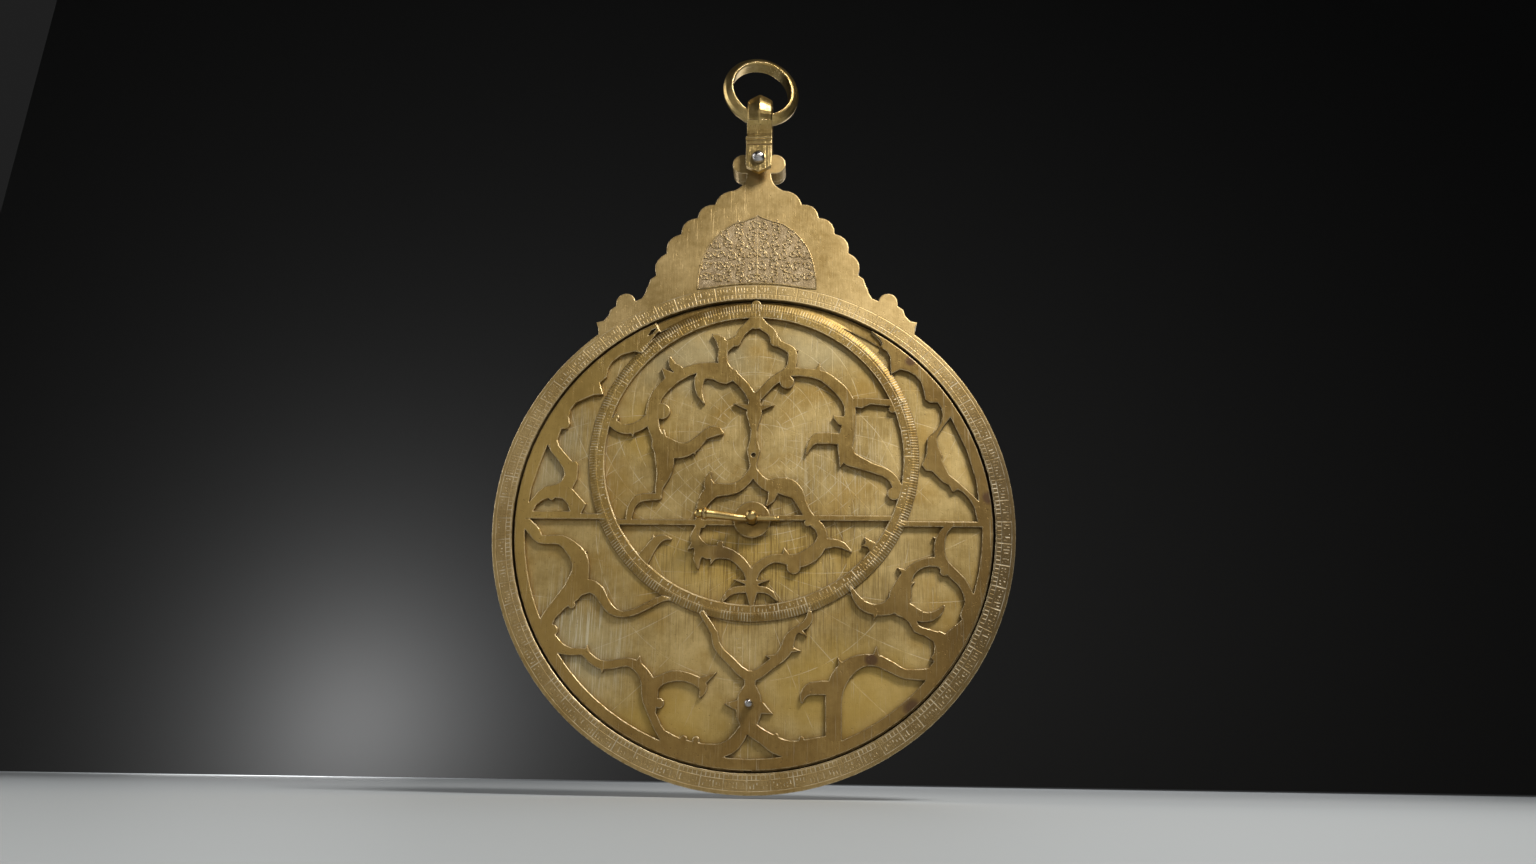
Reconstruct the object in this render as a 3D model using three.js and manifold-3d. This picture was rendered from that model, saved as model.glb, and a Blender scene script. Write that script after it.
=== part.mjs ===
// A pierced brass planispheric astrolabe hanging from its shackle and ring.
// Millimetres, +Z up, the face looking toward -Y. The origin is the point of
// the suspension ring that hangs on a thumb or hook.
import * as THREE from 'three';
import Module from 'manifold-3d';
import { mergeVertices } from 'three/addons/utils/BufferGeometryUtils.js';

const wasm = await Module();
wasm.setup();

// ---------------------------------------------------------------------------
// Driving dimensions. Inside the assembly the disc's centre is x = z = 0 and
// the limb's front face is y = 0.
// ---------------------------------------------------------------------------
const LIMB_RADIUS = 100;
const CAVITY_RADIUS = 92.5;
const LIMB_BACK = 6.7;
const ROUND_STEPS = 96;
const BACK_PLATE = [6.8, 9.2];
const MID_THICKNESS = 4.6;

const PLATE_RADIUS = 92.1;
const PLATE_THICKNESS = 1.0;
const PLATE_FRONTS = [2.3, 3.4, 4.5, 5.6];
const PLATE_HOLE_RADIUS = 2.5;
const PEG_CENTRE_Z = -89.6;
const LOCATING_PEG_RADIUS = 1.2;
const PEG_NOTCH_WIDTH = 2.8;

const RETE = [0.4, 2.2];
const RETE_RADIUS = 91.5;
const RETE_RIM_INNER_RADIUS = 87.5;
const ECLIPTIC_CENTRE_Z = 25.9;
const ECLIPTIC_INNER_RADIUS = 58.4;
const ECLIPTIC_FACE_RADIUS = 62.3;
const ECLIPTIC_FOOT_RADIUS = 64.5;
const BEVEL_SLOPE = 0.4;
const RIM_TOP_FRONT = 1.7;
const BAND_TURN_STEP = 26;
const HUB_RADIUS = 6.5;
const HUB_HOLE_RADIUS = 2.4;
const TURNING_PEG = { x: 0.3, z: -68.5, radius: 1.5, shank: 1.1, front: -8.5 };

const CENTRE_PIN_RADIUS = 2.2;
const CENTRE_PIN_FRONT = -9.2;
const CENTRE_PIN_HEAD = { radius: 6, front: 11.3, back: 13.9 };
const SLOT = { front: -4.1, back: -0.95, halfHeight: 1.55 };
const WEDGE = { middle: -2.5, radius: 1.25, taper: 0.028, bendStart: 1.5, bendLength: 18, rise: 7.4 };
const WASHER = { radius: 7.1, hole: 2.4, front: -0.55, back: 0.25 };

const ALIDADE = { front: 9.4, back: 11.1, halfLength: 97, discRadius: 13 };
const VANE_X = 68;
const VANE_RIVET_OFFSET = 3.2;

const SHACKLE_PIN_Z = 155.2;
const RING_HINGE_Z = 180.6;
const SHACKLE_HALF_WIDTH = 5.35;
const SHACKLE_HALF_DEPTH = 10.3;
const FORK = { halfGap: 8, top: 164, bossRadius: 3.4, clearance: 0.25 };
const EYE_HOLE_RADIUS = 5.4;
const RING_CENTRE_Z = 194.6;
const RING_INNER_RADIUS = 12.8;
const RING_TURN = 13;

const RIM_RIVET_RADIUS = 96.3;
const RIM_RIVET_ANGLES = [20, -25, -70, -110, -155, 160];
const THRONE_RIVETS = [[-26, 108], [26, 108], [0, 126]];
const BACK_RIVET = { radius: 1.3, front: 2.5, clearance: 0.15 };

// ---------------------------------------------------------------------------
// Solids
// ---------------------------------------------------------------------------
const radians = (degrees) => degrees * Math.PI / 180;

// A closed three.js geometry becomes a solid with its faces pointing out.
function solid(source) {
  const geometry = source.index ? source.clone() : source;
  geometry.deleteAttribute('normal');
  geometry.deleteAttribute('uv');
  const merged = mergeVertices(geometry, 1e-4);
  const positions = merged.attributes.position.array;
  const index = merged.index.array;
  const triangles = [];
  for (let i = 0; i < index.length; i += 3) {
    const [a, b, c] = [index[i], index[i + 1], index[i + 2]];
    if (a !== b && b !== c && c !== a) {
      triangles.push(a, b, c);
    }
  }
  if (enclosedVolume(positions, triangles) < 0) {
    triangles.reverse();
  }
  return new wasm.Manifold(new wasm.Mesh({
    numProp: 3,
    vertProperties: new Float32Array(positions),
    triVerts: new Uint32Array(triangles),
  }));
}

function enclosedVolume(positions, triangles) {
  const a = new THREE.Vector3();
  const b = new THREE.Vector3();
  const c = new THREE.Vector3();
  let sum = 0;
  for (let i = 0; i < triangles.length; i += 3) {
    a.fromArray(positions, triangles[i] * 3);
    b.fromArray(positions, triangles[i + 1] * 3);
    c.fromArray(positions, triangles[i + 2] * 3);
    sum += a.dot(b.cross(c));
  }
  return sum;
}

function geometryOf(body) {
  const mesh = body.getMesh();
  const geometry = new THREE.BufferGeometry();
  geometry.setAttribute('position', new THREE.BufferAttribute(mesh.vertProperties, 3));
  geometry.setIndex(new THREE.BufferAttribute(mesh.triVerts, 1));
  geometry.computeVertexNormals();
  return geometry;
}

const join = (bodies) => bodies.reduce((whole, body) => whole.add(body));
const cut = (body, tools) => tools.reduce((rest, tool) => rest.subtract(tool), body);

// An outline in X and Z, as thick as the stretch of Y it fills.
function slab(outline, [front, back]) {
  const shape = new THREE.Shape(outline.map(([x, z]) => new THREE.Vector2(x, z)));
  const geometry = new THREE.ExtrudeGeometry(shape, { depth: back - front, bevelEnabled: false });
  geometry.rotateX(Math.PI / 2);
  geometry.translate(0, back, 0);
  return solid(geometry);
}

// A profile of [radius, y] pairs turned about an axis along Y.
function turned(profile, x, z, segments) {
  const points = profile.map(([radius, y]) => new THREE.Vector2(radius, y));
  const geometry = new THREE.LatheGeometry(points, segments);
  geometry.translate(x, 0, z);
  return solid(geometry);
}

const disc = (radius, [front, back], x, z, segments) => (
  turned([[0, front], [radius, front], [radius, back], [0, back]], x, z, segments)
);

function annulus(inner, outer, [front, back], x, z, segments) {
  const profile = [[inner, front], [outer, front], [outer, back], [inner, back], [inner, front]];
  return turned(profile, x, z, segments);
}

function box([x0, x1], [y0, y1], [z0, z1]) {
  const geometry = new THREE.BoxGeometry(x1 - x0, y1 - y0, z1 - z0);
  geometry.translate((x0 + x1) / 2, (y0 + y1) / 2, (z0 + z1) / 2);
  return solid(geometry);
}

// ---------------------------------------------------------------------------
// Outlines
// ---------------------------------------------------------------------------
function arcPoints(x, z, radius, startDegrees, endDegrees, steps) {
  const points = [];
  for (let i = 0; i <= steps; i += 1) {
    const angle = radians(startDegrees + (endDegrees - startDegrees) * i / steps);
    points.push([x + radius * Math.cos(angle), z + radius * Math.sin(angle)]);
  }
  return points;
}

// A shallow bow from one point to the next, standing out by the given rise to
// the left of the way along. The first point is left out.
function bow(from, to, rise, steps) {
  const run = [to[0] - from[0], to[1] - from[1]];
  const length = Math.hypot(run[0], run[1]);
  const points = [];
  for (let i = 1; i <= steps; i += 1) {
    const t = i / steps;
    const lift = 4 * rise * t * (1 - t) / length;
    points.push([from[0] + run[0] * t - run[1] * lift, from[1] + run[1] * t + run[0] * lift]);
  }
  return points;
}

// A band of tracery. Each point is [x, z, half its width there]. The band
// follows a smooth curve, drawn finer where it turns, and its ends are round.
function band(points) {
  const curve = new THREE.CatmullRomCurve3(points.map((point) => new THREE.Vector3(...point)));
  const line = [];
  for (let i = 0; i < points.length - 1; i += 1) {
    const turn = turnAt(points, i) + turnAt(points, i + 1);
    const steps = Math.min(3, 1 + Math.floor(turn / BAND_TURN_STEP));
    for (let step = 0; step < steps; step += 1) {
      line.push(curve.getPoint((i + step / steps) / (points.length - 1)).toArray());
    }
  }
  line.push(points[points.length - 1]);
  const left = [];
  const right = [];
  line.forEach((point, i) => {
    const before = line[Math.max(i - 1, 0)];
    const after = line[Math.min(i + 1, line.length - 1)];
    const along = Math.hypot(after[0] - before[0], after[1] - before[1]);
    const side = [-(after[1] - before[1]) / along, (after[0] - before[0]) / along];
    left.push([point[0] + side[0] * point[2], point[1] + side[1] * point[2]]);
    right.push([point[0] - side[0] * point[2], point[1] - side[1] * point[2]]);
  });
  const outline = [...left, ...endCap(line, 1), ...right.reverse(), ...endCap(line, -1)];
  return slab(outline, RETE);
}

// How many degrees the line through three points turns at the middle one.
function turnAt(points, i) {
  if (i === 0 || i === points.length - 1) {
    return 0;
  }
  const [a, b, c] = [points[i - 1], points[i], points[i + 1]];
  const first = Math.atan2(b[1] - a[1], b[0] - a[0]);
  const second = Math.atan2(c[1] - b[1], c[0] - b[0]);
  const turn = Math.abs(second - first) * 180 / Math.PI;
  return Math.min(turn, 360 - turn);
}

function endCap(line, direction) {
  const tip = direction > 0 ? line[line.length - 1] : line[0];
  const inner = direction > 0 ? line[line.length - 2] : line[1];
  if (tip[2] < 0.5) {
    return [];
  }
  const outward = Math.atan2(tip[1] - inner[1], tip[0] - inner[0]);
  return [60, 30, 0, -30, -60].map((degrees) => {
    const angle = outward + radians(degrees);
    return [tip[0] + tip[2] * Math.cos(angle), tip[1] + tip[2] * Math.sin(angle)];
  });
}

const knob = ([x, z, radius]) => disc(radius, RETE, x, z, radius > 1.6 ? 20 : 12);

// A thorn from its root to a sharp tip.
function thorn([rootX, rootZ, halfWidth], [tipX, tipZ]) {
  const length = Math.hypot(tipX - rootX, tipZ - rootZ);
  const side = [-(tipZ - rootZ) / length * halfWidth, (tipX - rootX) / length * halfWidth];
  return slab([
    [rootX + side[0], rootZ + side[1]],
    [rootX - side[0], rootZ - side[1]],
    [tipX, tipZ],
  ], RETE);
}

// ---------------------------------------------------------------------------
// Rete tracery inside the ecliptic ring
// ---------------------------------------------------------------------------
const INNER_BANDS = [
  // Ogee arch below the top knob, with its spindle
  [[0, 90, 1.9], [0, 86, 2.2], [0, 82, 2.6]],
  [[-0.7, 83, 2.2], [-3.4, 80.5, 1.9], [-5.8, 78, 1.8], [-7.2, 75, 1.7], [-10.2, 73.2, 2],
    [-12.7, 70.5, 2], [-13.2, 67, 2], [-12.7, 64, 2], [-10.7, 61, 2], [-7.7, 58.5, 1.9],
    [-4.7, 55.5, 1.9], [-2.4, 52.5, 1.8], [-1.2, 50, 1.8]],
  [[-13.2, 71.5, 2], [-14.2, 74.5, 2], [-17.8, 77, 0.3]],
  [[0.8, 83, 2.2], [3.6, 80.3, 1.9], [6.4, 78, 1.8], [8.2, 74, 1.6], [11.3, 72, 1.5],
    [14.3, 70.2, 1.8], [15.1, 67, 1.9], [14.6, 63.5, 1.9], [12.8, 60.5, 2], [9.6, 58.6, 1.9],
    [6.3, 56, 1.8], [3.8, 53, 1.8], [1.6, 50.5, 1.8]],
  [[0, 50, 2.2], [0, 43, 3.1], [0, 36, 1.2], [0, 32, 1.5], [0, 28, 2.6], [0, 22, 1.3],
    [0, 19, 1.8]],
  // Left arch, down to its hook
  [[-12.7, 62, 2.2], [-17.2, 62.6, 2.2], [-22.2, 62.5, 2.1], [-27.2, 61, 2.1],
    [-31.7, 58.5, 2.3], [-35.7, 55, 2.5], [-39, 50.5, 2.5], [-40.2, 46, 2.6],
    [-40.4, 41, 2.6], [-39.2, 36, 2.2], [-37.4, 32, 2.4], [-35.4, 27.5, 3.6],
    [-34.5, 22, 3.6], [-35, 17, 2.6], [-36.4, 12.5, 1.5], [-36.5, 9, 1.2]],
  [[-36.4, 9, 1.3], [-40.2, 8.9, 1.4], [-44.2, 8.2, 1.6], [-46.7, 5, 1.4], [-47.5, 0.5, 1.2]],
  [[-30.7, 61.5, 2], [-33.2, 63.5, 1.6], [-34.6, 67.5, 0.3]],
  [[-18.2, 61.5, 2], [-21.7, 58.8, 2.1], [-22.4, 55, 1.7], [-21.8, 51, 1.1], [-20, 47.3, 0.3]],
  [[-20.2, 60, 2], [-16.2, 60, 2.6], [-11.7, 58.5, 2.9], [-8.7, 60, 2]],
  [[-41.2, 41, 2.3], [-45.2, 38, 2.1], [-49.7, 36.4, 2], [-53.7, 37.3, 1.9], [-56.7, 39.5, 1.8]],
  [[-36.2, 30, 4], [-31.2, 28, 3.6], [-26.2, 28.2, 2.8], [-22.7, 30.5, 2.4], [-19.7, 33.8, 1.9],
    [-16.7, 35.6, 2.3], [-13.7, 35.6, 1.6], [-11.8, 34.7, 0.3]],
  // Right arch, down to the ecliptic ring
  [[13.3, 61, 2.2], [17.8, 60.8, 1.7], [22.8, 60.3, 1.9], [27.3, 59, 2.2], [31.8, 55.5, 2.4],
    [35.6, 51.3, 2.5], [37.6, 46.5, 2.2], [37.7, 41, 2.4], [36.6, 35, 3], [35.8, 30, 2.9],
    [36.8, 25.5, 3.2], [40.8, 23.3, 2.5], [45.8, 21.2, 1.9], [50.8, 19.4, 1.8],
    [54.3, 16.5, 1.8], [57.8, 9, 2]],
  [[38.3, 48, 1.8], [42.3, 47.6, 2], [45.8, 48.5, 1.2], [57.8, 47.5, 1.5]],
  [[35.8, 40, 2], [33.8, 40.5, 1.8], [31.1, 42.2, 0.3]],
  [[35.8, 32.5, 2.2], [24.8, 33, 2.2], [22.1, 30.5, 1.2], [20.6, 26.5, 0.3]],
  // Lozenge about the centre, its leaves and the finial below it
  [[0, 19.5, 1.8], [2.3, 16.5, 1.9], [5.8, 13.8, 2.4], [9.8, 13.8, 3.2], [13.8, 13, 3.6],
    [17.1, 10.5, 2.8], [18.8, 7, 2], [20.6, 3.5, 1.8], [22.8, 0, 1.9], [25.6, -2.5, 1.9],
    [26.8, -6, 2], [26, -9.5, 2.4], [22.8, -13, 2.9], [17.8, -15.5, 2.7], [12.8, -15, 1.9],
    [8.3, -14.8, 1.6], [4.3, -16.8, 1.7], [1.6, -19.5, 1.8], [0.3, -23, 1.8]],
  [[0, 19.5, 1.8], [-2.7, 15.8, 1.9], [-6.2, 12.8, 2], [-10.2, 12, 2.3], [-14.7, 11.8, 2.8],
    [-18, 8.8, 2.6], [-19.7, 5, 1.8], [-20.5, 1.5, 1.2], [-20.7, -3, 1.2], [-21.7, -6.5, 1.8],
    [-19.7, -10.5, 2.4], [-16.7, -12.5, 2.7], [-12.2, -12.5, 2.5], [-7.7, -13.5, 2],
    [-4, -16.2, 1.9], [-1.2, -19.8, 1.8], [0, -23, 1.8]],
  [[-16.7, 13.5, 2.2], [-17.5, 16.5, 1.3], [-16.2, 19.4, 0.3]],
  [[-19.7, -12, 2], [-20.7, -15.5, 1.4], [-20.1, -19, 0.3]],
  [[7.8, 10.5, 1.8], [7.1, 8, 1.3], [5.4, 5.7, 0.3]],
  [[27.3, -9, 2], [31.3, -8.6, 1.6], [34.8, -9.6, 1.2], [38, -12, 0.3]],
  [[0.3, -22, 1.8], [0.3, -26, 2.8], [0.3, -29, 1.8], [0.4, -32.5, 0.8]],
  [[-1.2, -26.5, 1.3], [-5.2, -26.8, 1.3], [-8.5, -28.3, 1.1], [-10.6, -31.5, 0.25]],
  [[1.8, -26.5, 1.3], [5.3, -26.8, 1.2], [8.1, -28.3, 1], [10.1, -31, 0.25]],
  // Curved spurs on the ecliptic ring
  [[-41.2, -15.5, 2.6], [-38.7, -11.5, 2], [-36.2, -8.2, 1.7], [-33.2, -7, 1], [-30.6, -7.6, 0.25]],
  [[47.3, -11, 2.5], [44.8, -9, 1.5], [42.8, -6.4, 0.3]],
];

const INNER_THORNS = [
  [[14, 69, 1.5], [17.2, 70.2]],
  [[0, 45, 1.6], [-8.4, 47.3]],
  [[0, 45, 1.6], [8, 46.8]],
  [[-34, 58.5, 2.4], [-37.8, 62.5]],
  [[-48, 37, 1.6], [-47.7, 33.2]],
  [[-35.5, 31.5, 1.6], [-35.4, 36.6]],
  [[-24, 29, 1.6], [-22.8, 26]],
  [[24.8, 60.5, 1.5], [26.1, 65.3]],
  [[35, 25.5, 1.8], [33.6, 21.2]],
  [[-21.2, -9, 1.8], [-24.4, -11.7]],
  [[-13.7, -13, 1.6], [-15.5, -17.3]],
  [[13, -13.5, 1.4], [12.3, -10.4]],
  [[0.3, -24.5, 1.1], [-6.8, -22.9]],
  [[0.3, -24.5, 1.1], [7.1, -22.9]],
  [[-37, -9.5, 1.2], [-37.8, -5.7]],
  [[44.5, -9, 1.2], [41.6, -9.8]],
];

const INNER_KNOBS = [
  [-8.1, 74, 2.2], [8.1, 74, 2.2],
  [0, 90, 2], [-36.7, 44, 3.3], [-54.7, 41.3, 1.2], [12.8, 56.5, 2.8], [54.3, 10.8, 2.5],
  [54.5, 45.2, 1.5], [-12, -9.4, 1.3], [-19, -2, 1.3], [21.2, -1, 1.3], [16, -18.1, 2.6],
];

// ---------------------------------------------------------------------------
// Rete tracery between the ecliptic ring and the rim
// ---------------------------------------------------------------------------
const OUTER_BANDS = [
  // Lower left star branch and its pointers
  [[-86.6, -2, 2], [-83.7, -5, 2.2], [-81.2, -8, 1.7], [-73.2, -8.3, 1.9], [-69.2, -11, 2.6],
    [-65.7, -15, 3.2], [-64.7, -20, 3.3], [-65.7, -24.5, 3.9], [-67.7, -28.5, 3.8],
    [-71.7, -32.5, 2.8], [-75.2, -37, 2.4], [-77.2, -41.5, 2.9]],
  [[-65.2, -26.5, 3.5], [-60.7, -26, 2.6], [-57.2, -28, 2.2], [-55, -31.5, 1.8],
    [-52, -35, 1.6], [-47.7, -36.4, 1.2], [-42.7, -35.2, 1.2], [-37.7, -32.6, 1.3],
    [-33.2, -30.4, 1.1], [-30.2, -30.6, 0.4]],
  // Lower left branch with its scroll
  [[-74.8, -46, 3], [-71.2, -48.8, 2.2], [-66.2, -50.4, 1.4], [-61.7, -50.4, 1.3],
    [-58.7, -52.8, 1.5], [-55.2, -54.9, 1.6], [-50.2, -54.8, 1.6], [-45.2, -53.9, 1.6],
    [-41, -55.6, 1.9], [-37.8, -59.5, 2.3], [-36.2, -64, 3.2], [-36, -68, 2.6],
    [-35, -72.5, 1.5], [-32.7, -77, 1.5], [-29.2, -82, 1.8]],
  [[-35.2, -62, 2.5], [-32.2, -60.2, 1.8], [-28.2, -58.8, 2], [-24.2, -58.8, 1.8],
    [-20.2, -60, 1.7], [-17.2, -61.8, 1.8], [-16.8, -64, 1.2], [-17.9, -66.4, 0.3]],
  [[-30.2, -80, 2], [-25.2, -83.5, 3], [-11.2, -85, 2.5], [-5.2, -82.5, 2.5], [-1.7, -77.5, 2]],
  // Finial at the bottom, which carries the turning peg
  [[0.3, -58.5, 2.2], [0.4, -61.5, 2], [0.3, -65, 4], [0.2, -69, 4.8], [0, -73, 4.4],
    [0.2, -76.5, 2.8]],
  [[1.6, -77.5, 2.5], [5.3, -79.8, 2.5], [9.8, -82.5, 3], [14.8, -84, 3], [20.8, -83.5, 3],
    [29, -82, 3]],
  // The two arms of the Y above it
  [[0.3, -59, 2], [-3.7, -56.3, 1.7], [-7, -53, 1.6], [-10.2, -50.2, 1.5], [-12.4, -46.8, 1.4],
    [-13.2, -43, 1.3], [-15.2, -39.8, 1.2], [-18, -35.8, 1]],
  [[0.5, -59, 2], [4.3, -57, 1.8], [7.8, -54.2, 1.8], [11.3, -51.5, 2], [13.8, -48, 2.3],
    [14.8, -44.5, 2], [16.8, -41.8, 1.3], [20.3, -39.8, 1.4], [22.1, -37, 1.3], [21.9, -33.2, 0.3]],
  // Right scroll with its pointers
  [[76.6, -1.2, 0.4], [74, -2.8, 1.2], [72.1, -5.5, 1.6], [71.1, -9, 2], [71.1, -13, 2.1],
    [72.3, -16.5, 2.3], [75.3, -19.5, 2], [78.6, -22.8, 1.9], [80.8, -27, 1.8],
    [81.8, -31, 2.2], [80.6, -35.5, 2.8]],
  [[71.3, -15.5, 2], [66.8, -15.6, 1.7], [62.8, -16.9, 1.7], [59.6, -19.6, 2],
    [57.3, -23.5, 3], [56.1, -28, 4.2], [55, -32, 3.4], [59.8, -34.6, 2.8], [63.8, -36.2, 2],
    [67.8, -35.8, 1.6], [70.8, -33.8, 1], [72.1, -31.8, 0.3]],
  [[55.8, -30, 4], [50.8, -33.2, 2.6], [45.8, -33.6, 2], [41.8, -32, 1.8], [39.1, -28.8, 1.3],
    [37.2, -25, 0.4]],
  [[57.3, -33.5, 3], [60, -37.5, 1.5], [61.6, -40.6, 1.5], [65.3, -42, 1.5], [71, -44.5, 2.5]],
  // Lower right branch with its hook
  [[67, -57, 2.3], [56.8, -57, 1.8], [52.3, -54.8, 2], [47.8, -52.6, 2.2], [42.8, -52.2, 2.2],
    [38.3, -53.6, 2.7], [34.3, -57, 3.2], [31.8, -61.5, 3.2], [30.8, -67, 3], [30.8, -83, 2.9]],
  [[31.3, -62.5, 2.6], [22.8, -62.6, 2.3], [20, -64.8, 1.3], [19.3, -67.8, 0.3]],
];

const OUTER_THORNS = [
  [[-67, -14, 1.5], [-62.8, -12.4]],
  [[-66, -17, 1.6], [-69, -16.4]],
  [[-64, -21, 1.6], [-61.4, -22.6]],
  [[-60.4, -51, 1.4], [-60.4, -47.8]],
  [[-54.2, -54.5, 1.6], [-54.2, -58]],
  [[-41, -55, 1.6], [-40.5, -51.5]],
  [[-17.2, -60.5, 1.6], [-11.8, -57.2]],
  [[-2.5, -69, 2.6], [-9, -68.4]],
  [[4, -69.5, 2.4], [9, -71.8]],
  [[17.5, -41, 1.3], [21.1, -43.8]],
  [[14, -48.5, 1.4], [19.1, -49.2]],
  [[10, -52, 1.5], [5.8, -51]],
  [[72, -7.5, 1.2], [68.6, -6]],
  [[47, -33.5, 1.6], [45.8, -37.6]],
  [[59, -20.5, 1.6], [54.9, -17.8]],
  [[57.5, -25, 1.6], [61.6, -23.2]],
  [[46.3, -52.5, 1.8], [46.7, -47]],
  [[34.5, -56, 1.6], [32.4, -51.2]],
];

const OUTER_KNOBS = [
  [-67.2, -33, 1.4], [-73.9, -42.6, 2.2], [-75.3, 38.3, 1.8], [-70.3, 21.6, 1.6],
  [-32.6, -68.5, 1.8], [-23.2, -80.9, 1.3],
  [-18.7, -81.2, 1.3], [10.1, -79.4, 1], [19.3, -80.4, 1], [72.4, -19.4, 1.5],
];

// The pierced edges of the solid upper panels, from the rim down to the bar.
const LEFT_PANEL_EDGE = [
  [-40.6, 81.8], [-40, 78], [-46, 69], [-49.2, 69.5], [-54.2, 68], [-57.7, 65], [-59.2, 62],
  [-59.6, 58.5], [-62.2, 56], [-60.5, 51], [-64.2, 50.8], [-67.2, 49.5], [-71.2, 47.5],
  [-73.2, 44.5], [-73.6, 41], [-73, 38.5], [-73.8, 36.7], [-76.2, 36.5], [-77.5, 32],
  [-76.7, 29.5], [-74.2, 26.5], [-70.7, 22.8], [-68.5, 22], [-68.5, 16], [-70.2, 12],
  [-64.4, 6], [-66.6, 1],
];
const RIGHT_PANEL_EDGE = [
  [46.8, 78.4], [50.2, 74.8], [51.8, 71.5], [54, 67.3], [54.2, 60], [57.8, 62], [60.8, 61.3],
  [63.8, 59.5], [65.8, 57], [67.1, 53], [67.5, 49.3], [69.3, 48], [72.3, 48], [73.8, 45.5],
  [74, 43], [73.3, 39.5], [71.3, 36.5], [67.8, 33.3], [67.3, 27], [65.3, 22.3], [66.8, 20.2],
  [69.3, 19.8], [73.3, 15.5], [75.5, 14.3], [76.8, 11.5], [78.8, 12.7], [80.8, 11.5],
  [83.3, 8.5], [84.8, 5.5], [86, -1],
];
const LOWER_RIGHT_PANEL_EDGE = [
  [83, -28], [79.8, -33.5], [78.1, -37.3], [75.8, -39.2], [72, -42.3], [69.8, -41.2],
  [67.3, -44.5], [68, -47], [67.6, -49.5], [66.4, -51], [67.6, -52.5], [65.8, -54.5],
  [64.3, -61.5],
];
const PANEL_WINDOWS = [
  [[-81.2, 30], [-79.7, 27], [-76.7, 23.5], [-74.2, 20], [-73.6, 17.5], [-74.7, 15],
    [-76.7, 13.7], [-81.2, 12.8], [-83.2, 11], [-86.7, 6.2], [-86.2, 12], [-83.7, 22]],
  [[-84.8, 3], [-83.7, 5.5], [-81.7, 7.2], [-79.5, 8.2], [-77.9, 7.2], [-76.7, 8.3],
    [-73.7, 8], [-71.7, 6], [-70.4, 3]],
  [[-40.4, 79.9], [-42.6, 78.8], [-43.9, 76.2], [-41.8, 77.2]],
  [[77.1, 42], [72.8, 36], [71.5, 33], [72, 29.5], [73.6, 26], [73.1, 24.3], [75.8, 18.5],
    [78.8, 16], [84.3, 10.5], [86.6, 8], [86, 16], [83, 28]],
];

const bearing = ([x, z]) => Math.atan2(z, x) * 180 / Math.PI;

// A panel reaches from its pierced edge out to the rim.
function panel(edge) {
  const last = edge[edge.length - 1];
  const rim = arcPoints(0, 0, RETE_RADIUS - 0.1, bearing(last), bearing(edge[0]), 20);
  return slab([...edge, ...rim], RETE);
}

// A stretch of the rim between two bearings, [front, back] thick.
function rimArc(startDegrees, endDegrees, stretch, steps) {
  return slab([
    ...arcPoints(0, 0, RETE_RADIUS, startDegrees, endDegrees, steps),
    ...arcPoints(0, 0, RETE_RIM_INNER_RADIUS, endDegrees, startDegrees, steps),
  ], stretch);
}

// A ring with a flat face and a bevel that falls away to the given radius.
function bevelledRing(footRadius) {
  const footFront = RETE[0] + BEVEL_SLOPE * (footRadius - ECLIPTIC_FACE_RADIUS);
  return turned([
    [ECLIPTIC_INNER_RADIUS, RETE[0]],
    [ECLIPTIC_FACE_RADIUS, RETE[0]],
    [footRadius, footFront],
    [footRadius, RETE[1]],
    [ECLIPTIC_INNER_RADIUS, RETE[1]],
    [ECLIPTIC_INNER_RADIUS, RETE[0]],
  ], 0, ECLIPTIC_CENTRE_Z, 90);
}

// The rim runs clockwise from the right panel round the bottom to the left
// one. Over the top it is low, and the ecliptic ring's bevel runs down to it.
function reteRim() {
  const lowRim = rimArc(118, 53, [RIM_TOP_FRONT, RETE[1]], 24);
  const topBevel = bevelledRing(ECLIPTIC_FOOT_RADIUS + 1.6).intersect(rimArc(119, 52, RETE, 24));
  return join([rimArc(55, -243.5, RETE, 66), lowRim, topBevel]);
}

function reteSolid() {
  const ecliptic = bevelledRing(ECLIPTIC_FOOT_RADIUS);
  // The straight bar changes sides at the centre and where it meets the ring.
  const bar = [
    box([-88, -55], RETE, [0, 2.1]),
    box([-55, 0.5], RETE, [-2.1, 0]),
    box([-0.5, 55], RETE, [0, 2.1]),
    box([55, 88], RETE, [-2.1, 0]),
  ];
  const tracery = [
    ...INNER_BANDS.map(band),
    ...OUTER_BANDS.map(band),
    ...[...INNER_THORNS, ...OUTER_THORNS].map(([root, tip]) => thorn(root, tip)),
    ...[...INNER_KNOBS, ...OUTER_KNOBS].map(knob),
    ...[LEFT_PANEL_EDGE, RIGHT_PANEL_EDGE, LOWER_RIGHT_PANEL_EDGE].map(panel),
  ];
  const hub = disc(HUB_RADIUS, RETE, 0, 0, 32);
  const whole = join([reteRim(), ecliptic, ...bar, ...tracery, hub]);
  const clear = [RETE[0] - 1, RETE[1] + 1];
  const windows = PANEL_WINDOWS.map((outline) => slab(outline, clear));
  const holes = [
    disc(HUB_HOLE_RADIUS, clear, 0, 0, 24),
    disc(TURNING_PEG.shank + 0.15, clear, TURNING_PEG.x, TURNING_PEG.z, 16),
    disc(0.9, clear, 0, 26, 10),
  ];
  return cut(whole, [...windows, ...holes]);
}

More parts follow.
